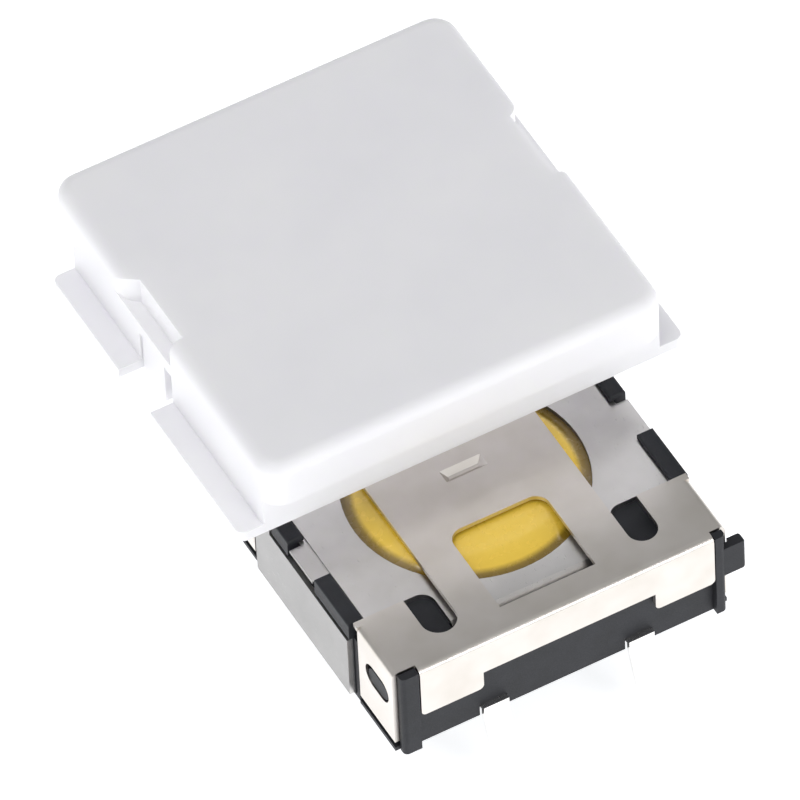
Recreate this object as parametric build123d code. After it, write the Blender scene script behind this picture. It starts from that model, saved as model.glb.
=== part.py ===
from build123d import *
import math
import os

# A low-profile square tactile key switch with its keycap lifted off.
# Millimetres. Origin at the centre of the base's underside, +X right, +Y rear, +Z up.

# ---- Whole switch ----
BODY = 14.5             # push plate, side to side and front to back
PLATE_TOP = 4.5         # board to the top of the push plate
SHEET = 0.2             # thickness of both folded sheets and of the contact stampings
TRAVEL = 0.2            # stroke of the key
RUN = 0.05              # running clearance beside a piece that slides
BEND = 0.3              # outside radius of a fold
OVER = 0.2              # how far a cut runs past what it cuts

# ---- Push plate ----
BAR = 1.24              # front and rear bars, front to back
TAB_REACH = 3.4         # corner pads, measured in from the front edge
TONGUE_LEFT = 3.63      # edges of the tongue, left and right of the middle
TONGUE_RIGHT = 3.83
PAD_IN = 2.17           # inner edge of a corner pad, in from the side
WINDOW_WIDE = 4.16
WINDOW_LONG = 4.16
WINDOW_ROUND = 0.6      # rear corners of the window
APRON_IN_LEFT = 1.0     # apron ends, in from the left and right sides
APRON_IN_RIGHT = 0.7
APRON_DROP = 2.6        # depth of the apron's two ends
APRON_MID = 1.7         # depth of its middle
APRON_END_LEFT = 2.7    # width of each deep end
APRON_END_RIGHT = 2.6
APRON_ROUND = 0.22
SIDE_START = 0.4        # side tabs, measured in from the front edge
SIDE_END = 3.1
SIDE_FOOT = 0.5         # board to the lower edge of a side tab
BOSS_LONG = 1.8         # slotted hole in a side tab
BOSS_HIGH = 1.1
BOSS_IN = 1.65          # its middle, in from the front edge
BOSS_DROP = 1.75        # its middle, below the plate's top
NIB_WIDE = 1.8          # pressed nib over the dome
NIB_LONG = 0.62
NIB_BACK = 0.3          # nib behind the dome's centre
NIB_DEPTH = 0.2
NIB_DRAFT = 50          # slope of the nib's sides, degrees
NIB_DROP = 0.12         # how far it stands below the sheet

# ---- Cover plate ----
COVER_FRONT = 3.7       # front edge of the wings, in from the front
DOME_HOLE = 4.85        # radius of the round opening
DOME_Y = 0.4            # dome centre, behind the middle of the body
GROOVE_IN = 0.63        # inner line of the coined rim, in from the side
RIM_IN = 0.35           # outer edge of the coined rim, in from the side
COIN = 0.08             # how much the rim is coined down
TAB_HALF = 0.9          # half length of the side tabs
TAB_PAST = 0.15         # side tabs and side bars, past the side of the body
ARM_HALF = 3.85         # half width of the front arm
ARM_FRONT = 1.0         # its front end, in from the front
ARM_KNEE = 1.3          # where its level foot ends
ARM_BEND = 1.95         # where it starts to slope
ARM_DROP = 0.6          # how far it slopes down
ARM_ROUND = 0.6         # inside corner between wing and arm
WALL_PAST = 0.2         # outer face of the side walls, past the side
WALL_FRONT = 3.6        # front end of the side walls, in from the front
WALL_DROP = 0.5         # free upper edge of a side wall, below the cover plate
WALL_FOOT = 0.15        # board to its lower edge
NECK_LONG = 1.2         # bent neck that carries each side wall

# ---- Base ----
POST_GAP = 0.2          # post back from the corner of the plate
POST_DROP = 0.08        # post top, below the plate's top
POST_ROUND = 0.2        # upright outer corner of a post
BAR_LIP = 0.55          # bar's clamping lip, in from the side
BAR_FROM = 3.5          # side bars, in from the front
BAR_DROP = 0.2          # bar top, below the plate's top
BAR_ROUND = 0.1
LUG = 0.7               # lug on the front right corner, how far it stands out
LUG_DEEP = 0.45
LUG_TOP = 3.55
LUG_FOOT = 2.0
LUG_ROUND = 0.15
LUG_ROOM = 0.1          # room for the lug inside the cap's right wall
LIP = 0.2               # lip under the side tabs, height
CHAMBER_LEDGE = 0.1     # flat seat of the film, inside the line where it rises
CHAMBER_DEEP = 0.45     # chamber floor, below the cover plate
MOULD_BREAK = 0.06      # chamfer on moulded outer edges

# ---- Film and dome ----
FILM = 0.08
FILM_LAP = 0.57         # film's rim under the cover plate
FILM_GAP = 0.23         # opening's edge to the line where the film rises
TOUCH = 0.01            # film under the nib at rest
DOME_SHEET = 0.08
DOME_EDGE = 0.3         # dome's rim, inside the chamber wall
DOME_GAP = 0.03         # dome top under the film

# ---- Contacts ----
PITCH = 6.35            # terminal pitch along the front
PIN_SHIFT = 0.15        # the pair sits right of the middle
PIN = 1.1               # width of a blade
PIN_LONG = 3.6          # length below the board plane
PIN_SLANT = 1.5         # upper part of a blade, which slants outward
PIN_SPLAY = 0.53        # how far it slants out
PIN_TIP = 0.7           # width of the tip
PIN_TAPER = 0.5         # length of the tip's taper
PIN_TOP = 0.6           # upper end of a blade's outside bend
LEG_IN = 0.65           # outer face of the leg inside the base, in from the front
BURY = 0.4              # centre strip below the chamber floor
PAD = 0.9               # radius of the centre pad
CROSS = 1.6             # width of the cross arm to the centre pad
RING_LAP = 0.6          # ring pad, inward from the dome's rim
RING_PAST = 0.2         # ring pad, outward from the dome's rim
RING_SIDE = 1.6         # the ring pad stays left of this line

# ---- Keycap ----
CAP_CLEAR = 0.5         # inside of the cap's walls, past the sides of the body
CAP_WALL = 0.95
CAP_TOP = 1.0
CAP_FRONT = 2.1         # height of the front and rear walls
CAP_SIDE = 3.9          # height of the side walls
CAP_CORNER = 1.0
CAP_EDGE = 0.55
FLANGE = 1.0            # flange along the foot of each side wall
FLANGE_THICK = 0.5
FLANGE_FRONT = 0.6      # front end of the side walls' lower part, in from the cap's front
FLANGE_REAR = 1.8       # rear end, in from the cap's rear
FLANGE_ROUND = 0.35
NOTCH_FRONT = -1.0      # side notch, from the middle of the cap
NOTCH_REAR = 2.4
NOTCH_DEEP = 0.6
NOTCH_LOW = 1.3         # how far it reaches down
NOTCH_SWEEP = 1.3       # radius that leads into the notch from behind
SNAP_GAP = 0.55         # wide gap in front of the snap arm
SNAP_REAR = 1.3         # rear edge of the snap arm, from the middle of the cap
SLIT = 0.2              # slit behind it
GAP_TOP = 1.9           # cap's top to the upper end of gap and slit
BARB_BITE = 0.1         # barb under the cover plate's side tab
BARB_THICK = 0.15
CAP_BACK = 8.52         # the lifted cap's middle, behind the switch
CAP_LIFT = 5.69         # the lifted cap's top, above the push plate

# ---- Worked out ----
HALF = BODY / 2
PLATE_UNDER = PLATE_TOP - SHEET
COVER_TOP = PLATE_UNDER - TRAVEL - RUN
COVER_UNDER = COVER_TOP - SHEET
APRON_LEFT = HALF - APRON_IN_LEFT
APRON_RIGHT = HALF - APRON_IN_RIGHT
PAD_EDGE = HALF - PAD_IN
TAB_EDGE = HALF - TAB_REACH
TAB_FACE = HALF - SHEET - 2 * RUN       # base behind the moving folds
SIDE_MID = HALF - (SIDE_START + SIDE_END) / 2
BOSS_Y = HALF - BOSS_IN
BOSS_Z = PLATE_TOP - BOSS_DROP
GROOVE = HALF - GROOVE_IN
RIM = HALF - RIM_IN
TAB_OUT = HALF + TAB_PAST
WALL_OUT = HALF + WALL_PAST
WALL_IN = WALL_OUT - SHEET
WALL_TOP = COVER_UNDER - WALL_DROP
WALL_LINE = HALF - WALL_FRONT
NECK = (WALL_LINE - NECK_LONG, WALL_LINE)
BAR_END = TAB_HALF + 3 * RUN
BAR_TOP = PLATE_TOP - BAR_DROP
NIB_Y = DOME_Y + NIB_BACK
NIB_X = (TONGUE_RIGHT - TONGUE_LEFT) / 2
NIB_FOOT = PLATE_UNDER - NIB_DROP
FILM_TOP = NIB_FOOT - TOUCH
FILM_RIM = DOME_HOLE + FILM_LAP
FILM_SPRING = DOME_HOLE - FILM_GAP      # radius where the film starts to rise
CHAMBER = FILM_SPRING - CHAMBER_LEDGE
FLOOR = COVER_UNDER - CHAMBER_DEEP
DOME = CHAMBER - DOME_EDGE
DOME_TOP = FILM_TOP - FILM - DOME_GAP
PAD_TOP = DOME_TOP - DOME_SHEET - TRAVEL - RUN / 2
BURIED = FLOOR - BURY
PIN_FACE = HALF - RUN
LEG_FACE = HALF - LEG_IN
LEFT_PIN = PIN_SHIFT - PITCH / 2
RIGHT_PIN = PIN_SHIFT + PITCH / 2
CAP_INSIDE = HALF + CAP_CLEAR
CAP_HALF = CAP_INSIDE + CAP_WALL
SNAP_FRONT = NOTCH_FRONT + SNAP_GAP
UP = Vector(0, 0, 1)
SIDES = (-1, 1)


def block(x, y, z):
    """A box given by its low and high value on each axis."""
    size = (x[1] - x[0], y[1] - y[0], z[1] - z[0])
    middle = ((x[0] + x[1]) / 2, (y[0] + y[1]) / 2, (z[0] + z[1]) / 2)
    return Pos(*middle) * Box(*size)


def side_block(side, x, y, z):
    """The same, with x measured outward from the middle on one side."""
    low, high = sorted((side * x[0], side * x[1]))
    return block((low, high), y, z)


def end_block(end, x, y, z):
    """The same, with y measured outward from the middle at one end."""
    low, high = sorted((end * y[0], end * y[1]))
    return block(x, (low, high), z)


def disc(radius, low, high):
    """A round plug over the dome's centre."""
    return Pos(0, DOME_Y, (low + high) / 2) * Cylinder(radius, high - low)


def fold(edge, outward, width, drop):
    """Sheet turned down through a round bend. edge is the middle of the fold's outermost line."""
    inner = BEND - SHEET
    section = make_face(
        Line((0, -SHEET), (0, 0))
        + CenterArc((0, -BEND), BEND, 0, 90)
        + Line((BEND, -BEND), (BEND, -drop))
        + Line((BEND, -drop), (inner, -drop))
        + Line((inner, -drop), (inner, -BEND))
        + CenterArc((0, -BEND), inner, 0, 90)
    )
    out = Vector(*outward)
    start = Vector(*edge) - out * BEND
    plane = Plane(origin=start, x_dir=out, z_dir=out.cross(UP))
    return extrude(plane * section, amount=width / 2, both=True)


def tongue_slot(side, end):
    """Gap between the tongue and a corner pad, round at the end that bites into the bar."""
    tongue = TONGUE_RIGHT if side > 0 else TONGUE_LEFT
    radius = (PAD_EDGE - tongue) / 2
    start = HALF - BAR - radius
    middle = Pos(side * (tongue + radius), end * start, PLATE_TOP - SHEET / 2)
    y = sorted((end * start, end * (TAB_EDGE - OVER)))
    gap = side_block(side, (tongue, PAD_EDGE), y, (PLATE_UNDER - OVER, PLATE_TOP + OVER))
    return gap + middle * Cylinder(radius, SHEET + 2 * OVER)


def plate_window():
    """Window in the tongue, against the front bar, with round rear corners."""
    pane = RectangleRounded(WINDOW_WIDE, WINDOW_LONG, WINDOW_ROUND)
    square = Pos(0, -WINDOW_LONG / 4) * Rectangle(WINDOW_WIDE, WINDOW_LONG / 2)
    place = Pos(0, BAR - HALF + WINDOW_LONG / 2, PLATE_UNDER - OVER)
    return extrude(place * (pane + square), amount=SHEET + 2 * OVER)


def apron(end):
    """Folded apron across one end, deep at its two ends and shallow between them."""
    width = APRON_LEFT + APRON_RIGHT
    middle = (APRON_RIGHT - APRON_LEFT) / 2
    sheet = fold((middle, end * HALF, PLATE_TOP), (0, end, 0), width, APRON_DROP)
    left = -APRON_LEFT + APRON_END_LEFT
    right = APRON_RIGHT - APRON_END_RIGHT
    sheet -= end_block(
        end, (left, right), (HALF - SHEET - OVER, HALF + OVER),
        (PLATE_TOP - APRON_DROP - OVER, PLATE_TOP - APRON_MID))
    low = PLATE_TOP - APRON_MID
    corners = [edge for edge in sheet.edges().filter_by(Axis.Y) if edge.center().Z < low]
    return fillet(corners, APRON_ROUND)


def side_tab(side, end):
    """Folded side tab with the slotted hole that rides on a boss of the base."""
    drop = PLATE_TOP - SIDE_FOOT
    tab = fold((side * HALF, end * SIDE_MID, PLATE_TOP), (side, 0, 0), SIDE_END - SIDE_START, drop)
    origin = (side * HALF, end * BOSS_Y, BOSS_Z)
    plane = Plane(origin=origin, x_dir=(0, 1, 0), z_dir=(side, 0, 0))
    hole = plane * SlotOverall(BOSS_LONG, BOSS_HIGH)
    return tab - extrude(hole, amount=SHEET + OVER, both=True)


def pressed_nib(top, depth):
    """A pocket with sloping sides, widest at its top."""
    mouth = Pos(NIB_X, NIB_Y, top) * Rectangle(NIB_WIDE, NIB_LONG)
    return extrude(mouth, amount=-depth, taper=NIB_DRAFT)


def make_push_plate():
    plate = block((-HALF, HALF), (-HALF, HALF), (PLATE_UNDER, PLATE_TOP))
    through = (PLATE_UNDER - OVER, PLATE_TOP + OVER)
    for side in SIDES:
        apron_end = APRON_RIGHT if side > 0 else APRON_LEFT
        tongue = TONGUE_RIGHT if side > 0 else TONGUE_LEFT
        plate -= side_block(side, (tongue, HALF + OVER), (-TAB_EDGE, TAB_EDGE), through)
        for end in SIDES:
            plate -= tongue_slot(side, end)
            y = sorted((end * (HALF - SIDE_START), end * (HALF - SIDE_END)))
            plate -= side_block(side, (HALF - BEND, HALF + OVER), y, through)
            y = sorted((end * (HALF - SIDE_START), end * (HALF + OVER)))
            plate -= side_block(side, (apron_end, HALF + OVER), y, through)
    for end in SIDES:
        plate -= end_block(end, (-APRON_LEFT, APRON_RIGHT), (HALF - BEND, HALF + OVER), through)
    plate -= plate_window()
    for end in SIDES:
        plate += apron(end)
        for side in SIDES:
            plate += side_tab(side, end)
    plate += pressed_nib(PLATE_UNDER, NIB_DROP)
    plate -= pressed_nib(PLATE_TOP, NIB_DEPTH)
    return plate


def front_arm():
    """Arm of the cover plate that slopes down to the front, under the tongue."""
    top = [
        (COVER_FRONT + OVER - HALF, COVER_TOP),
        (ARM_BEND - HALF, COVER_TOP),
        (ARM_KNEE - HALF, COVER_TOP - ARM_DROP),
        (ARM_FRONT - HALF, COVER_TOP - ARM_DROP),
    ]
    under = [(y, z - SHEET) for y, z in reversed(top)]
    section = make_face(Polyline(*top, *under, close=True))
    plane = Plane(origin=(0, 0, 0), x_dir=(0, 1, 0), z_dir=(1, 0, 0))
    return extrude(plane * section, amount=ARM_HALF, both=True)


def web(side):
    """Sheet that fills the inside corner between a wing and the arm with a round."""
    front = COVER_FRONT - HALF
    patch = Pos(side * (ARM_HALF + ARM_ROUND / 2), front - ARM_ROUND / 2)
    patch *= Rectangle(ARM_ROUND, ARM_ROUND)
    bite = Pos(side * (ARM_HALF + ARM_ROUND), front - ARM_ROUND) * Circle(ARM_ROUND)
    return extrude(Pos(0, 0, COVER_UNDER) * (patch - bite), amount=SHEET)


def side_wall(side):
    """Side wall of the cover plate, carried by one bent neck near the rear."""
    middle = (NECK[0] + NECK[1]) / 2
    drop = COVER_TOP - WALL_FOOT
    neck = fold((side * WALL_OUT, middle, COVER_TOP), (side, 0, 0), NECK_LONG, drop)
    neck += side_block(side, (RIM - SHEET, WALL_OUT - BEND), NECK, (COVER_UNDER, COVER_TOP))
    wall = side_block(side, (WALL_IN, WALL_OUT), (-WALL_LINE, NECK[1]), (WALL_FOOT, WALL_TOP))
    return neck + wall


def make_cover_plate():
    front = COVER_FRONT - HALF
    ends = (front, -front)
    sheet = block((-RIM, RIM), ends, (COVER_UNDER, COVER_TOP))
    for side in SIDES:
        sheet -= side_block(
            side, (GROOVE, RIM + OVER), (front - OVER, OVER - front),
            (COVER_TOP - COIN, COVER_TOP + OVER))
        sheet += side_block(
            side, (GROOVE, TAB_OUT), (-TAB_HALF, TAB_HALF), (COVER_UNDER, COVER_TOP - COIN))
        sheet += web(side)
        sheet += side_wall(side)
    sheet += front_arm()
    return sheet - disc(DOME_HOLE, COVER_UNDER - ARM_DROP - OVER, COVER_TOP + OVER)


def cap_of(radius, foot, height):
    """Outline points of a shallow dome's arc: rim, a point half way, and crown."""
    sphere = (radius**2 + height**2) / (2 * height)
    half = radius / 2
    rise = math.sqrt(sphere**2 - half**2) - (sphere - height)
    return (radius, foot), (half, foot + rise), (0, foot + height)


def make_seal_film():
    foot = COVER_UNDER - FILM
    height = FILM_TOP - COVER_UNDER
    low = cap_of(FILM_SPRING, foot, height)
    high = cap_of(FILM_SPRING, COVER_UNDER, height)
    section = make_face(
        ThreePointArc(*low)
        + Line(low[2], high[2])
        + ThreePointArc(*high)
        + Polyline(high[0], (FILM_RIM, COVER_UNDER), (FILM_RIM, foot), low[0])
    )
    return Pos(0, DOME_Y, 0) * revolve(Plane.XZ * section, Axis.Z)


def make_snap_dome():
    height = DOME_TOP - DOME_SHEET - FLOOR
    low = cap_of(DOME, FLOOR, height)
    high = cap_of(DOME, FLOOR + DOME_SHEET, height)
    section = make_face(
        ThreePointArc(*low)
        + Line(low[2], high[2])
        + ThreePointArc(*high)
        + Line(high[0], low[0])
    )
    return Pos(0, DOME_Y, 0) * revolve(Plane.XZ * section, Axis.Z)


def blade_outline():
    """The blade seen from the front, with a tapered tip."""
    taper = PIN_TAPER - PIN_LONG
    return make_face(Polyline(
        (-PIN / 2, PIN_TOP), (PIN / 2, PIN_TOP), (PIN / 2, taper),
        (PIN_TIP / 2, -PIN_LONG), (-PIN_TIP / 2, -PIN_LONG), (-PIN / 2, taper), close=True))


def blade(end):
    """Flat terminal that slants outward below the board plane, then points straight down."""
    out = PIN_FACE + PIN_SPLAY
    face = [(PIN_FACE, PIN_TOP), (PIN_FACE, 0), (out, -PIN_SLANT), (out, -PIN_LONG)]
    back = [(y - SHEET, z) for y, z in reversed(face)]
    profile = make_face(Polyline(*[(end * y, z) for y, z in face + back], close=True))
    side_view = Plane(origin=(0, 0, 0), x_dir=(0, 1, 0), z_dir=(1, 0, 0))
    bent = extrude(side_view * profile, amount=PIN / 2, both=True)
    return bent & extrude(Plane.XZ * blade_outline(), amount=BODY, both=True)


def terminals(x, strip_z):
    """A strip from front to rear, with a leg and a blade at each end."""
    across = (-PIN / 2, PIN / 2)
    strip = block(across, (-LEG_FACE, LEG_FACE), strip_z)
    for end in SIDES:
        strip += end_block(end, across, (LEG_FACE - SHEET, LEG_FACE), (PIN_TOP - SHEET, strip_z[1]))
        strip += end_block(end, across, (LEG_FACE - SHEET, PIN_FACE), (PIN_TOP - SHEET, PIN_TOP))
        strip += blade(end)
    return Pos(x, 0, 0) * strip


def make_outer_contact():
    level = (BURIED - SHEET, FLOOR)
    ring = disc(DOME + RING_PAST, *level)
    ring -= disc(DOME - RING_LAP, BURIED - SHEET - OVER, FLOOR + OVER)
    keep = block((-BODY, -RING_SIDE), (-BODY, BODY), level)
    return terminals(LEFT_PIN, (BURIED - SHEET, BURIED)) + (ring & keep)


def make_centre_contact():
    level = (BURIED - SHEET, BURIED)
    stamping = terminals(RIGHT_PIN, level)
    stamping += block((0, RIGHT_PIN), (DOME_Y - CROSS / 2, DOME_Y + CROSS / 2), level)
    return stamping + disc(PAD, BURIED - SHEET, PAD_TOP)


def base_post(side, end):
    """Corner post that fills the plate's relieved corner, with a round outer corner."""
    apron_end = APRON_RIGHT if side > 0 else APRON_LEFT
    edge = HALF - POST_GAP
    y = sorted((end * (HALF - SIDE_START + RUN), end * HALF))
    top = PLATE_TOP - POST_DROP
    post = side_block(side, (apron_end + RUN, edge), y, (0, top))
    outer = [
        line for line in post.edges().filter_by(Axis.Z)
        if side * line.center().X > edge - RUN and end * line.center().Y > HALF - RUN]
    return fillet(outer, POST_ROUND)


def side_lip(side, end):
    """Lip along the foot of a side, under the push plate's side tab."""
    y = sorted((end * (HALF - SIDE_END - RUN), end * (HALF - SIDE_START)))
    return side_block(side, (TAB_FACE - SHEET, HALF), y, (0, LIP))


def base_boss(side, end):
    """Boss that stands in a slotted hole and stops the push plate at both ends of its stroke."""
    boss_high = BOSS_HIGH - TRAVEL - 2 * RUN
    middle_z = BOSS_Z - BOSS_HIGH / 2 + RUN + boss_high / 2
    shape = SlotOverall(BOSS_LONG - 2 * RUN - TRAVEL, boss_high)
    origin = (side * (TAB_FACE - SHEET), end * BOSS_Y, middle_z)
    plane = Plane(origin=origin, x_dir=(0, 1, 0), z_dir=(side, 0, 0))
    return extrude(plane * shape, amount=HALF - RUN - TAB_FACE + SHEET)


def side_bar(side, span):
    """Bar beside the cover plate, whose upper lip clamps the plate's coined rim."""
    ledge = WALL_TOP + 3 * RUN
    bar = side_block(side, (TAB_FACE, TAB_OUT), span, (ledge, BAR_TOP))
    bar += side_block(side, (HALF - BAR_LIP, TAB_OUT), span, (COVER_TOP - COIN + RUN, BAR_TOP))
    bar = fillet(bar.faces().sort_by(Axis.Z)[-1].edges(), BAR_ROUND)
    return bar + side_block(side, (TAB_FACE, WALL_IN), span, (LIP, ledge))


def corner_lug():
    """Lug that stands out from the front right corner and passes in front of the side tab."""
    front = RUN - HALF
    z = (LUG_FOOT, LUG_TOP)
    root = block((APRON_RIGHT + RUN, HALF + LUG), (front, SIDE_START - RUN - HALF), z)
    head = block((HALF + 2 * RUN, HALF + LUG), (front, front + LUG_DEEP), z)
    lug = root + head
    outer = [line for line in lug.edges() if line.center().X > HALF + LUG - RUN]
    return fillet(outer, LUG_ROUND)


def base_core():
    """Block under the cover plate, with wider shoulders between the side tabs."""
    side = WALL_IN - RUN
    shoulder = HALF - SIDE_END - 2 * RUN
    core = block((-TAB_FACE, TAB_FACE), (-TAB_FACE, TAB_FACE), (0, COVER_UNDER))
    core += block((-side, side), (-shoulder, shoulder), (0, WALL_TOP + 3 * RUN))
    core = chamfer(core.edges().filter_by(Axis.Z), MOULD_BREAK)
    return core - block((-side - OVER, -TAB_FACE), NECK, (WALL_TOP, PLATE_TOP))


def base_hollows():
    """Film seat, dome chamber, room for the front arm and slots for the four blades."""
    hollows = [
        disc(CHAMBER, FLOOR, PLATE_TOP),
        disc(FILM_RIM + RUN, COVER_UNDER - FILM, PLATE_TOP),
        block(
            (-ARM_HALF - RUN, ARM_HALF + RUN), (ARM_FRONT - RUN - HALF, ARM_BEND + RUN - HALF),
            (COVER_UNDER - ARM_DROP, PLATE_TOP)),
    ]
    for x in (LEFT_PIN, RIGHT_PIN):
        across = (x - PIN / 2 - RUN, x + PIN / 2 + RUN)
        for end in SIDES:
            hollows.append(end_block(end, across, (LEG_FACE, HALF), (0, PIN_TOP)))
    return hollows


def make_base(contacts):
    body = base_core()
    for side in SIDES:
        for end in SIDES:
            body += base_post(side, end)
            body += side_lip(side, end)
            body += base_boss(side, end)
        body += side_bar(side, (BAR_FROM - HALF, -BAR_END))
        body += side_bar(side, (BAR_END, NECK[0] - 2 * RUN))
    body += corner_lug()
    for hollow in base_hollows():
        body -= hollow
    for contact in contacts:
        body -= contact
    return body


def cap_shell():
    """Open box with round upright corners, a soft top edge, and walls cut short at both ends."""
    below = -CAP_SIDE - OVER
    shell = block((-CAP_HALF, CAP_HALF), (-CAP_HALF, CAP_HALF), (-CAP_SIDE, 0))
    shell = fillet(shell.edges().filter_by(Axis.Z), CAP_CORNER)
    shell = fillet(shell.faces().sort_by(Axis.Z)[-1].edges(), CAP_EDGE)
    shell -= block((-CAP_INSIDE, CAP_INSIDE), (-CAP_INSIDE, CAP_INSIDE), (below, -CAP_TOP))
    across = (-CAP_HALF - OVER, CAP_HALF + OVER)
    for end, short in ((-1, FLANGE_FRONT), (1, FLANGE_REAR)):
        shell -= end_block(end, across, (CAP_HALF - short, CAP_HALF + OVER), (below, -CAP_FRONT))
    return shell


def cap_flange(side):
    """Flange that stands out from the foot of a side wall."""
    low = FLANGE_FRONT - CAP_HALF
    high = CAP_HALF - FLANGE_REAR
    middle = Pos(side * CAP_HALF, (low + high) / 2, -CAP_SIDE)
    plan = middle * RectangleRounded(2 * FLANGE, high - low, FLANGE_ROUND)
    inner = side_block(side, (0, CAP_HALF - CAP_WALL / 2), (low, high), (-CAP_SIDE, 0))
    return extrude(plan, amount=FLANGE_THICK) - inner


def notch_cut(side):
    """What a side notch takes from the wall: square in front, swept round behind."""
    deep = CAP_HALF - NOTCH_DEEP
    past = CAP_HALF + OVER
    reach = math.sqrt(NOTCH_SWEEP**2 - (NOTCH_SWEEP - NOTCH_DEEP)**2)
    rear = NOTCH_REAR + reach
    outline = Polyline(
        (past, NOTCH_FRONT), (deep, NOTCH_FRONT), (deep, NOTCH_REAR),
        (CAP_HALF, rear), (past, rear), close=True)
    shape = make_face(outline) - Pos(CAP_HALF - NOTCH_SWEEP, rear) * Circle(NOTCH_SWEEP)
    if side < 0:
        shape = mirror(shape, Plane.YZ)
    return extrude(Pos(0, 0, -NOTCH_LOW) * shape, amount=NOTCH_LOW + OVER)


def snap_arm_cuts(side):
    """Gap and slit that free the snap arm, and the break in the flange beside it."""
    x = (CAP_INSIDE - OVER, CAP_HALF + OVER)
    z = (-CAP_SIDE - OVER, -GAP_TOP)
    front = side_block(side, x, (NOTCH_FRONT, SNAP_FRONT), z)
    rear = side_block(side, x, (SNAP_REAR, SNAP_REAR + SLIT), z)
    flange_gap = side_block(
        side, (CAP_HALF, CAP_HALF + FLANGE + OVER), (NOTCH_FRONT, SNAP_REAR + SLIT),
        (-CAP_SIDE - OVER, FLANGE_THICK - CAP_SIDE + OVER))
    return front + rear + flange_gap


def snap_barb(side):
    """Barb on the arm that catches under the cover plate's side tab when the cap is on."""
    height = PLATE_TOP - COVER_UNDER + CAP_TOP + 2 * RUN
    x = (TAB_OUT - BARB_BITE, CAP_INSIDE + CAP_WALL / 2)
    return side_block(side, x, (SNAP_FRONT, TAB_HALF), (-height - BARB_THICK, -height))


def lug_pocket():
    """Pocket in the right wall's inner face, which clears the base's lug when the cap is on."""
    x = (CAP_INSIDE - OVER, HALF + LUG + LUG_ROOM)
    y = (-CAP_INSIDE, RUN + LUG_DEEP + LUG_ROOM - HALF)
    z = (-CAP_SIDE - OVER, LUG_TOP + LUG_ROOM - PLATE_TOP - CAP_TOP)
    return block(x, y, z)


def make_keycap():
    cap = cap_shell()
    for side in SIDES:
        cap += cap_flange(side)
        cap -= notch_cut(side)
        cap -= snap_arm_cuts(side)
        cap += snap_barb(side)
    cap -= lug_pocket()
    return Pos(0, CAP_BACK, PLATE_TOP + CAP_LIFT) * cap


def main():
    os.makedirs("parts", exist_ok=True)
    outer = make_outer_contact()
    centre = make_centre_contact()
    nodes = {
        "base": make_base((outer, centre)),
        "cover_plate": make_cover_plate(),
        "push_plate": make_push_plate(),
        "seal_film": make_seal_film(),
        "snap_dome": make_snap_dome(),
        "outer_contact": outer,
        "centre_contact": centre,
        "keycap": make_keycap(),
    }
    for name, solid in nodes.items():
        export_step(solid, f"parts/{name}.step")
        box = solid.bounding_box()
        print(name, len(solid.solids()), round(solid.volume, 3), box.min, box.max)


main()
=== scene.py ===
# %% [markdown]
# # A push-plate key switch, finished in Blender
# The switch is a black moulded base, two folded stainless sheets, an amber sealing film over a snap
# dome, four silver terminals and a milky white keycap, held off the switch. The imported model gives
# every part at its real size in metres. The cells below give each part its finish, build the film and
# the dome as fine meshes of their own, and light the whole as a small product in a studio.

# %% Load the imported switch
import math

import bpy
from mathutils import Matrix, Vector


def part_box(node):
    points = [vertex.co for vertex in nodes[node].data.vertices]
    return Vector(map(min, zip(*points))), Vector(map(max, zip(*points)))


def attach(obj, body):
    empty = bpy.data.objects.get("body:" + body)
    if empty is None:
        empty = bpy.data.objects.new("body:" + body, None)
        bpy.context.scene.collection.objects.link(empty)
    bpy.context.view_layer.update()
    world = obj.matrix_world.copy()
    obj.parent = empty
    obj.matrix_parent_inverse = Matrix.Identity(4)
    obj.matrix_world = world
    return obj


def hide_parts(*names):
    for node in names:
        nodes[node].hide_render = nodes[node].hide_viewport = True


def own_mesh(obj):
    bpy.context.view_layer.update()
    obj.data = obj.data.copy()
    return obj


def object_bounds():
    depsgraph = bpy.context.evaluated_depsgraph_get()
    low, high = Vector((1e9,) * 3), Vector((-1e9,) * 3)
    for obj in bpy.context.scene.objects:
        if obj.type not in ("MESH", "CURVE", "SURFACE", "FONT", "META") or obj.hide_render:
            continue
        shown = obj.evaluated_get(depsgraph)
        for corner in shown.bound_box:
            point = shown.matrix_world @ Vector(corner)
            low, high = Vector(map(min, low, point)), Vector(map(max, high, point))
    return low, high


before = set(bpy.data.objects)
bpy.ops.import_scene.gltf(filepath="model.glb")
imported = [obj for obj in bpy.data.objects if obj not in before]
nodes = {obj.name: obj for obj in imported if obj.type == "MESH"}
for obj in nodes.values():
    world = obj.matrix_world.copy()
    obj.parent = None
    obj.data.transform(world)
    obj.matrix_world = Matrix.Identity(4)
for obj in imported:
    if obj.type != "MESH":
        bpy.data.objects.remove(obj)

cad_low, cad_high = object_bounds()
MM = 0.001
print("packed size, mm:", [round(v / MM, 2) for v in (cad_high - cad_low)])

# %% [markdown]
# ## The places everything else is worked out from
# Sizes come from the parts themselves, so a later change to the model moves the looks with it. The
# plate's top is the surface that the key presses on, the opening in the cover plate is where the film
# shows, and the terminal tips are what the switch stands on.

# %% Measure the parts
_, plate_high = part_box("push_plate")
film_low, film_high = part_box("seal_film")
dome_low, dome_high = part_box("snap_dome")
pin_low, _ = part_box("outer_contact")
dome_middle = (dome_low + dome_high) / 2

# %% [markdown]
# ## Small helpers for materials
# A finish is a Principled shader with a little noise on its colour, its roughness and its surface
# height. Noise is sized in millimetres, because on a part this small a default noise would be one
# flat patch. Values that are the same all over go straight on the shader. A small round on the sharp
# edges of each part catches a thin line of light, as a real edge does.


# %% Material helpers
SHARP_FROM = math.radians(50)       # edges that turn more than this are rounded


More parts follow.
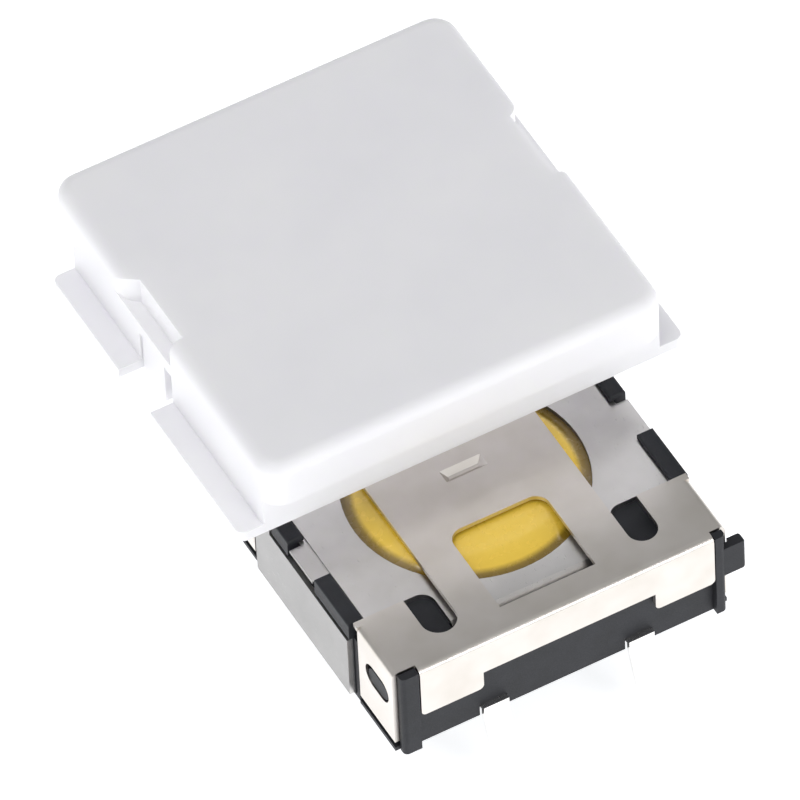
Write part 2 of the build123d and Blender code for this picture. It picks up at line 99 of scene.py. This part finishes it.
def new_material(name, **values):
    """A material with one Principled shader, and its uniform values set on the shader."""
    material = bpy.data.materials.new(name)
    material.use_nodes = True
    shader = material.node_tree.nodes["Principled BSDF"]
    for key, value in values.items():
        shader.inputs[key].default_value = value
    return material, material.node_tree, shader


def grain(tree, size_mm, stretch=(1, 1, 1), detail=3.0, rough=0.5):
    """Noise with features of that size, in the part's own millimetres."""
    place = tree.nodes.new("ShaderNodeTexCoord")
    mapping = tree.nodes.new("ShaderNodeMapping")
    mapping.inputs["Scale"].default_value = [s / (size_mm * MM) for s in stretch]
    noise = tree.nodes.new("ShaderNodeTexNoise")
    noise.inputs["Scale"].default_value = 1.0
    noise.inputs["Detail"].default_value = detail
    noise.inputs["Roughness"].default_value = rough
    tree.links.new(place.outputs["Object"], mapping.inputs["Vector"])
    tree.links.new(mapping.outputs["Vector"], noise.inputs["Vector"])
    return noise.outputs["Fac"]


def spread(tree, value, low, high, start=0.3, end=0.7):
    """The noise value stretched to run from low to high."""
    node = tree.nodes.new("ShaderNodeMapRange")
    node.inputs["From Min"].default_value = start
    node.inputs["From Max"].default_value = end
    node.inputs["To Min"].default_value = low
    node.inputs["To Max"].default_value = high
    tree.links.new(value, node.inputs["Value"])
    return node.outputs["Result"]


def two_tone(tree, value, dark, light, start=0.3, end=0.7):
    """A colour that runs from dark to light with the value."""
    ramp = tree.nodes.new("ShaderNodeValToRGB")
    ramp.color_ramp.elements[0].position = start
    ramp.color_ramp.elements[0].color = (*dark, 1)
    ramp.color_ramp.elements[1].position = end
    ramp.color_ramp.elements[1].color = (*light, 1)
    tree.links.new(value, ramp.inputs["Fac"])
    return ramp.outputs["Color"]


def raise_surface(tree, shader, value, height_mm, strength=1.0):
    """Bump of that real height."""
    bump = tree.nodes.new("ShaderNodeBump")
    bump.inputs["Distance"].default_value = height_mm * MM
    bump.inputs["Strength"].default_value = strength
    tree.links.new(value, bump.inputs["Height"])
    tree.links.new(bump.outputs["Normal"], shader.inputs["Normal"])


def dress(piece, material, soft_edge_mm=0.0):
    """Puts a material on a part, and breaks its sharp edges by a small round."""
    piece.data.materials.clear()
    piece.data.materials.append(material)
    if soft_edge_mm:
        round_over = piece.modifiers.new("edge_break", "BEVEL")
        round_over.width = soft_edge_mm * MM
        round_over.segments = 2
        round_over.limit_method = "ANGLE"
        round_over.angle_limit = SHARP_FROM
        round_over.harden_normals = False
        round_over.use_clamp_overlap = True
    print("dressed", piece.name, "in", material.name)


# %% [markdown]
# ## Satin stainless sheet
# The cover and the push plate are cold-rolled stainless strip. Rolling leaves fine lines along the
# strip and a soft, slightly warm sheen, so the noise is drawn out along one axis and moves the
# roughness more than the colour. The push plate's colour is warmer still, and that extra warmth is a
# painted reflection of the keycap's inside above it. The lines are kept very shallow, because deeper
# ones read as scratches at this size.
#
# The walls that face sideways mirror the bright table and would come out white, though on the switch
# they read as a light grey. So shade is painted into the cover plate's colour where its surface faces
# sideways, standing in for the shaded table those walls would mirror. That painted shade is a chosen
# look, and not a known fact about the metal.


# %% Make the sheet metal
STEEL_EDGE = 0.02                   # edge round on both folded sheets, mm
ROLLED_LINE = 0.05                  # width of a rolling line, mm
ROLLED_DEPTH = 0.0003
CLOUD = 1.6                         # size of the slow change in tone, mm
WALL_SHADE_FROM, WALL_SHADE_FULL = 0.6, 0.9     # how far sideways a face turns before painted shade starts, and where it is full


def painted_wall_shade(tree, colour, wall_shade):
    """The colour, with painted shade where the sheet faces sideways."""
    facing = tree.nodes.new("ShaderNodeNewGeometry")
    split = tree.nodes.new("ShaderNodeSeparateXYZ")
    turned = tree.nodes.new("ShaderNodeMath")
    turned.operation = "ABSOLUTE"
    mix = tree.nodes.new("ShaderNodeMix")
    mix.data_type = "RGBA"
    mix.blend_type = "MULTIPLY"
    mix.inputs["B"].default_value = (wall_shade, wall_shade, wall_shade, 1)
    tree.links.new(facing.outputs["Normal"], split.inputs["Vector"])
    tree.links.new(split.outputs["X"], turned.inputs[0])
    sideways = spread(tree, turned.outputs["Value"], 0, 1, WALL_SHADE_FROM, WALL_SHADE_FULL)
    tree.links.new(sideways, mix.inputs["Factor"])
    tree.links.new(colour, mix.inputs["A"])
    return mix.outputs["Result"]


def satin_stainless(name, dark, light, rough_low, rough_high, along, wall_shade=1.0):
    material, tree, shader = new_material(name, Metallic=1.0, Anisotropic=0.35)
    lines = grain(tree, ROLLED_LINE, along, 4.0, 0.6)
    clouds = grain(tree, CLOUD, detail=2.0)
    colour = painted_wall_shade(tree, two_tone(tree, clouds, dark, light), wall_shade)
    tree.links.new(colour, shader.inputs["Base Color"])
    tree.links.new(spread(tree, lines, rough_low, rough_high), shader.inputs["Roughness"])
    raise_surface(tree, shader, lines, ROLLED_DEPTH, 0.12)
    return material


# The push plate's warmer colours are the steel's own tint with a painted reflection of the keycap's
# inside.
plate_steel = satin_stainless(
    "plate_steel", (0.67, 0.63, 0.58), (0.74, 0.70, 0.66), 0.29, 0.33, (0.12, 1, 1))
# The cover plate's last value, 0.46, sets how dark the painted shade on its sideways walls is.
cover_steel = satin_stainless(
    "cover_steel", (0.64, 0.625, 0.61), (0.71, 0.695, 0.68), 0.27, 0.33, (1, 0.12, 1), 0.46)
dress(nodes["push_plate"], plate_steel, STEEL_EDGE)
dress(nodes["cover_plate"], cover_steel, STEEL_EDGE)

# %% [markdown]
# ## Black glass-filled nylon
# The base is black moulded plastic, taken here to be nylon filled with glass. A spark-eroded tool
# gives such a part a fine matt grain, and the glass near its skin a slow mottling. Both are noise, the
# grain on roughness and height and the mottling on colour, and the black is very slightly blue.

# %% Make the moulded base
nylon, tree, shader = new_material("black_nylon", **{"Specular IOR Level": 0.35})
mottle = grain(tree, 0.9)
sparks = grain(tree, 0.06, detail=4.0, rough=0.65)
black = two_tone(tree, mottle, (0.011, 0.012, 0.015), (0.017, 0.018, 0.023))
tree.links.new(black, shader.inputs["Base Color"])
tree.links.new(spread(tree, sparks, 0.46, 0.62), shader.inputs["Roughness"])
raise_surface(tree, shader, sparks, 0.006, 0.5)
dress(nodes["base"], nylon, 0.05)

# %% [markdown]
# ## Silver-plated terminals
# The contact stampings are brass under bright silver, nearly white, with the faint drawn lines of the
# strip along each blade.

# %% Make the terminals
silver, tree, shader = new_material("silver_plate", Metallic=1.0)
drawn = grain(tree, 0.08, (1, 1, 0.06), 3.0)
haze = grain(tree, 0.7)
bright = two_tone(tree, haze, (0.86, 0.85, 0.82), (0.95, 0.94, 0.93))
tree.links.new(bright, shader.inputs["Base Color"])
tree.links.new(spread(tree, drawn, 0.16, 0.28), shader.inputs["Roughness"])
raise_surface(tree, shader, drawn, 0.001, 0.3)
for name in ("outer_contact", "centre_contact"):
    dress(nodes[name], silver, 0.025)

# %% [markdown]
# ## Milky keycap
# The cap is moulded in a white plastic that lets a little light in, so its thin edges glow and its
# shadows stay pale. Subsurface scattering with a depth of about half a millimetre does that. The top
# has a very fine etched grain, and the gloss is low and even.

# %% Make the keycap
milk, tree, shader = new_material(
    "milky_plastic",
    **{
        "Subsurface Weight": 0.45,
        "Subsurface Radius": (1.0, 0.95, 1.05),
        "Subsurface Scale": 0.5 * MM,
        "Specular IOR Level": 0.4,
    })
etch = grain(tree, 0.11, rough=0.6)
cloud = grain(tree, 4.0, detail=2.0)
white = two_tone(tree, cloud, (0.885, 0.880, 0.905), (0.915, 0.910, 0.930))
tree.links.new(white, shader.inputs["Base Color"])
tree.links.new(spread(tree, etch, 0.40, 0.52), shader.inputs["Roughness"])
raise_surface(tree, shader, etch, 0.004, 0.35)
dress(nodes["keycap"], milk, 0.06)

# %% [markdown]
# ## The amber film and the dome under it
# The film is a disc of glossy polyimide, warmed and drawn over the snap dome: flat where the cover
# plate clamps it, steep just inside the opening, then nearly flat on top. A surface of rings and
# spokes from one height formula gives that shape exactly, with the real thickness, and a few shallow
# radial wrinkles near the shoulder where the film was gathered.


# %% Build round sheets from a height formula
def round_sheet(name, radius, height_of, thickness, rings=56, spokes=144):
    """A thin round sheet: height_of(r, angle) gives its upper face, and it has that thickness."""
    verts = []
    faces = []
    for layer in (0.0, thickness):
        verts.append((dome_middle.x, dome_middle.y, height_of(0, 0) - layer))
        for ring in range(1, rings + 1):
            r = radius * ring / rings
            for spoke in range(spokes):
                angle = math.tau * spoke / spokes
                x = dome_middle.x + r * math.cos(angle)
                y = dome_middle.y + r * math.sin(angle)
                verts.append((x, y, height_of(r, angle) - layer))
    layer_size = 1 + rings * spokes
    for layer in (0, 1):
        start = layer * layer_size
        for spoke in range(spokes):
            after = (spoke + 1) % spokes
            near = [start, start + 1 + spoke, start + 1 + after]
            faces.append(near if layer == 0 else near[::-1])
            for ring in range(rings - 1):
                inner = start + 1 + ring * spokes
                outer = inner + spokes
                quad = [inner + spoke, outer + spoke, outer + after, inner + after]
                faces.append(quad if layer == 0 else quad[::-1])
    rim = 1 + (rings - 1) * spokes
    for spoke in range(spokes):
        after = (spoke + 1) % spokes
        lower = layer_size + rim
        faces.append([rim + spoke, lower + spoke, lower + after, rim + after])
    mesh = bpy.data.meshes.new(name)
    mesh.from_pydata(verts, [], faces)
    mesh.shade_smooth()
    piece = bpy.data.objects.new(name, mesh)
    bpy.context.scene.collection.objects.link(piece)
    print(name, "has", len(faces), "faces")
    return piece


# %% Shape the film
FILM_THICK = 0.08 * MM
film_seat = film_low.z + FILM_THICK
film_radius = (film_high.x - film_low.x) / 2
FILM_LEDGE = 0.8 * MM               # flat rim that the cover plate clamps
film_spring = film_radius - FILM_LEDGE
film_rise = film_high.z - film_seat
STEEPNESS = 9                       # higher is a flatter top and a steeper shoulder
FLAT_SHARE = 0.86                   # of the rise that the flat top already has
WRINKLE = 0.005 * MM
WRINKLE_FROM = 0.45                 # share of the radius where the wrinkles start
EASE = 0.012 * MM                   # keeps the wrinkles under the film's highest point


def film_height(r, angle):
    if r >= film_spring:
        return film_seat
    share = r / film_spring
    crown = 1 - share ** STEEPNESS
    swell = FLAT_SHARE + (1 - FLAT_SHARE) * (1 - share * share)
    gathers = math.sin(23 * angle) + 0.6 * math.sin(37 * angle + 1.0)
    wrinkle = WRINKLE * gathers * max(0.0, share - WRINKLE_FROM) * (1 - share) * 4
    return film_seat + film_rise * crown * swell + wrinkle - EASE * share


film = round_sheet("film_dome", film_radius, film_height, FILM_THICK)
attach(film, "housing")
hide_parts("seal_film")
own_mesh(film)


# %% Shape the snap dome
DOME_THICK = 0.08 * MM
dome_radius = (dome_high.x - dome_low.x) / 2
dome_rise = dome_high.z - dome_low.z - DOME_THICK


def dome_height(r, angle):
    share = r / dome_radius
    return dome_low.z + DOME_THICK + dome_rise * (1 - share * share)


dome = round_sheet("snap_dome_disc", dome_radius, dome_height, DOME_THICK, rings=32)
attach(dome, "housing")
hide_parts("snap_dome")
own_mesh(dome)

# %% [markdown]
# ## Amber and spring steel
# Polyimide is a clear amber, and over a bright steel dome it reads as an even golden gloss. Near the
# rim, where the film drops steeply under the cover plate's edge, shade is painted into its colour as a
# narrow dark band. The colour follows the distance from the centre, so that painted shade is a true
# ring, and a clear coat gives the sharp plastic highlight. The dome below is plain spring steel,
# hidden by the film.

# %% Make the film and dome finishes
amber, tree, shader = new_material(
    "amber_film",
    **{"Metallic": 0.1, "Coat Weight": 0.8, "Coat Roughness": 0.06, "Specular IOR Level": 0.6})
place = tree.nodes.new("ShaderNodeTexCoord")
centre = tree.nodes.new("ShaderNodeVectorMath")
centre.operation = "SUBTRACT"
centre.inputs[1].default_value = dome_middle
flat = tree.nodes.new("ShaderNodeVectorMath")
flat.operation = "MULTIPLY"
flat.inputs[1].default_value = (1 / film_radius, 1 / film_radius, 0)
length = tree.nodes.new("ShaderNodeVectorMath")
length.operation = "LENGTH"
tree.links.new(place.outputs["Object"], centre.inputs[0])
tree.links.new(centre.outputs["Vector"], flat.inputs[0])
tree.links.new(flat.outputs["Vector"], length.inputs[0])
ramp = tree.nodes.new("ShaderNodeValToRGB")
# Golden amber in the middle, then painted shade as a dark ring where the film drops to its rim.
amber_then_rim_shade = (
    (0.0, (0.96, 0.68, 0.09)),
    (0.79, (0.92, 0.62, 0.06)),
    (0.83, (0.30, 0.19, 0.015)),
    (0.90, (0.13, 0.08, 0.010)),
)
for spare in amber_then_rim_shade[2:]:
    ramp.color_ramp.elements.new(spare[0])
for element, (position, colour) in zip(ramp.color_ramp.elements, amber_then_rim_shade):
    element.position = position
    element.color = (*colour, 1)
tree.links.new(length.outputs["Value"], ramp.inputs["Fac"])
tree.links.new(ramp.outputs["Color"], shader.inputs["Base Color"])
haze = grain(tree, 0.5)
tree.links.new(spread(tree, haze, 0.20, 0.32), shader.inputs["Roughness"])
raise_surface(tree, shader, haze, 0.004, 0.3)
dress(film, amber)

spring, tree, shader = new_material("spring_steel", Metallic=1.0)
ringing = grain(tree, 0.07)
bare = two_tone(tree, ringing, (0.60, 0.59, 0.57), (0.72, 0.71, 0.69))
tree.links.new(bare, shader.inputs["Base Color"])
tree.links.new(spread(tree, ringing, 0.18, 0.30), shader.inputs["Roughness"])
dress(dome, spring)

# %% [markdown]
# ## Table, light and camera
# The switch stands on its four terminal tips on a pale table that glows a little, like a light table,
# so the upright steel faces that mirror it come out near white. The world is a dim even grey, which is
# what the flat steel mirrors, so it reads as a calm mid grey. Soft lamps round the viewer's side and
# above light the cap, and one small lamp stands where the nib's slope mirrors it. The camera stands
# well back with a long lens, so the edges stay almost parallel.


# %% Set the table
def table_top(size):
    mesh = bpy.data.meshes.new("table_top")
    z = pin_low.z
    half = size / 2
    corners = [(-half, -half, z), (half, -half, z), (half, half, z), (-half, half, z)]
    mesh.from_pydata(corners, [], [(0, 1, 2, 3)])
    piece = bpy.data.objects.new("table_top", mesh)
    bpy.context.scene.collection.objects.link(piece)
    return piece


TABLE = 2.4                         # side of the table top, m
table = table_top(TABLE)
paper, tree, shader = new_material(
    "pale_table",
    **{
        "Roughness": 0.9,
        "Specular IOR Level": 0.1,
        "Emission Color": (0.97, 0.985, 1.0, 1),
        "Emission Strength": 0.75,
    })
fibre = grain(tree, 1.2)
pale = two_tone(tree, fibre, (0.92, 0.92, 0.93), (0.94, 0.94, 0.95))
tree.links.new(pale, shader.inputs["Base Color"])
dress(table, paper)


# %% Hang the lamps
def softbox(name, place_mm, aim, size_mm, watts):
    lamp = bpy.data.lights.new(name, "AREA")
    lamp.shape = "SQUARE"
    lamp.size = size_mm * MM
    lamp.energy = watts
    holder = bpy.data.objects.new(name, lamp)
    bpy.context.scene.collection.objects.link(holder)
    holder.location = Vector(place_mm) * MM
    toward = Vector(aim) - holder.location
    holder.rotation_euler = toward.to_track_quat("-Z", "Y").to_euler()
    print(name, size_mm, "mm wide,", watts, "W")


middle = (cad_low + cad_high) / 2
lamps = (
    ("front_softbox", (80, -250, 100), 90, 0.16),
    ("left_softbox", (-230, -20, 90), 180, 0.05),
    ("right_softbox", (230, -60, 60), 150, 0.08),
    ("top_softbox", (-110, -40, 290), 160, 0.27),
    ("glint_softbox", (88, -194, 217), 30, 0.012),
)
for lamp_name, place_mm, size_mm, watts in lamps:
    softbox(lamp_name, place_mm, middle, size_mm, watts)

world = bpy.data.worlds.new("studio_air")
world.use_nodes = True
world.node_tree.nodes["Background"].inputs["Color"].default_value = (0.98, 0.99, 1.0, 1)
world.node_tree.nodes["Background"].inputs["Strength"].default_value = 0.42
bpy.context.scene.world = world

# %% Place the camera
AZIMUTH = math.radians(-26.86)
ELEVATION = math.radians(49.57)
ROLL = math.radians(-3.0)
DISTANCE = 0.6
VIEW_WIDTH = 30.56 * MM
back = Vector((
    math.sin(AZIMUTH) * math.cos(ELEVATION),
    -math.cos(AZIMUTH) * math.cos(ELEVATION),
    math.sin(ELEVATION),
))
level = Vector((math.cos(AZIMUTH), math.sin(AZIMUTH), 0))
upright = back.cross(level)
right = math.cos(ROLL) * level + math.sin(ROLL) * upright
up = -math.sin(ROLL) * level + math.cos(ROLL) * upright
AIM_DROP = 2 * MM                   # aim point, below the plate's top
ASIDE = -2.743 * MM                 # and from there, across and up the view
ABOVE = 4.385 * MM
body_middle = Vector((0, 0, plate_high.z - AIM_DROP))
target = body_middle + ASIDE * right + ABOVE * up
camera_data = bpy.data.cameras.new("long_lens")
camera_data.sensor_width = 36
camera_data.lens = camera_data.sensor_width * DISTANCE / VIEW_WIDTH
camera_data.clip_start = 0.01
camera_data.clip_end = 5
camera = bpy.data.objects.new("long_lens", camera_data)
bpy.context.scene.collection.objects.link(camera)
turn = Matrix((right, up, back)).transposed().to_4x4()
camera.matrix_world = Matrix.Translation(target + back * DISTANCE) @ turn
bpy.context.scene.camera = camera
bpy.context.scene.view_settings.view_transform = "Standard"
print("lens", round(camera_data.lens), "mm at", DISTANCE, "m")
